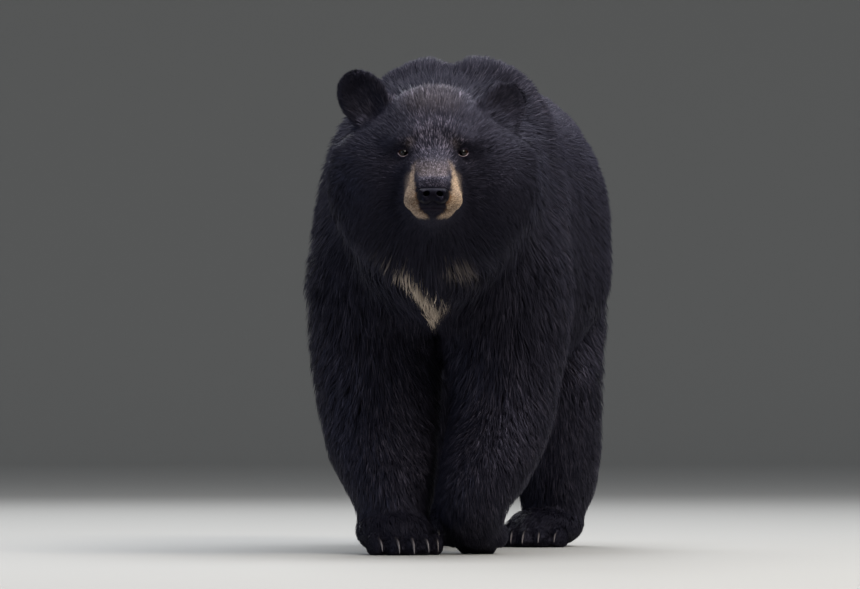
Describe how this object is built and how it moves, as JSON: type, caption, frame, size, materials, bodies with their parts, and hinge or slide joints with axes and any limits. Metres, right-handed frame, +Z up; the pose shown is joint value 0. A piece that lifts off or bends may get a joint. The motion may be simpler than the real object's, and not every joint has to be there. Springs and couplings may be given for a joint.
{
  "type": "american black bear",
  "caption": "Life-size still model of a walking black bear with thick black fur, a tan muzzle and a pale chest mark, one forepaw lifted.",
  "frame": {"origin": "centre of the bounding box seen from above, at the height of the soles", "axes": "-Y is the way the bear walks, +X its left side, +Z up"},
  "size_m": [0.554, 1.7416, 0.9614],
  "materials": {
    "black_coat": "matte fur",
    "tan_coat": "short matte fur",
    "nose_skin": "moist, pebbled",
    "eye": "wet and clear",
    "claw_horn": "worn horn"
  },
  "bodies": {
    "root": {"belly": "black_coat", "chest": "black_coat", "claw_fore_left_1": "claw_horn", "claw_fore_left_2": "claw_horn", "claw_fore_left_3": "claw_horn", "claw_fore_left_4": "claw_horn", "claw_fore_left_5": "claw_horn", "claw_fore_right_1": "claw_horn", "claw_fore_right_2": "claw_horn", "claw_fore_right_3": "claw_horn", "claw_fore_right_4": "claw_horn", "claw_fore_right_5": "claw_horn", "claw_hind_left_1": "claw_horn", "claw_hind_left_2": "claw_horn", "claw_hind_left_3": "claw_horn", "claw_hind_left_4": "claw_horn", "claw_hind_left_5": "claw_horn", "claw_hind_right_1": "claw_horn", "claw_hind_right_2": "claw_horn", "claw_hind_right_3": "claw_horn", "claw_hind_right_4": "claw_horn", "claw_hind_right_5": "claw_horn", "ear_left": "black_coat", "ear_right": "black_coat", "eye_left": "eye", "eye_right": "eye", "forearm_left": "black_coat", "forearm_right": "black_coat", "forepaw_left": "black_coat", "forepaw_right": "black_coat", "head": "black_coat", "hindpaw_left": "black_coat", "hindpaw_right": "black_coat", "lower_jaw": "tan_coat", "muzzle": "tan_coat", "neck": "black_coat", "nose": "nose_skin", "rump": "black_coat", "shank_left": "black_coat", "shank_right": "black_coat", "tail": "black_coat", "thigh_left": "black_coat", "thigh_right": "black_coat", "upper_foreleg_left": "black_coat", "upper_foreleg_right": "black_coat"}
  },
  "joints": []
}
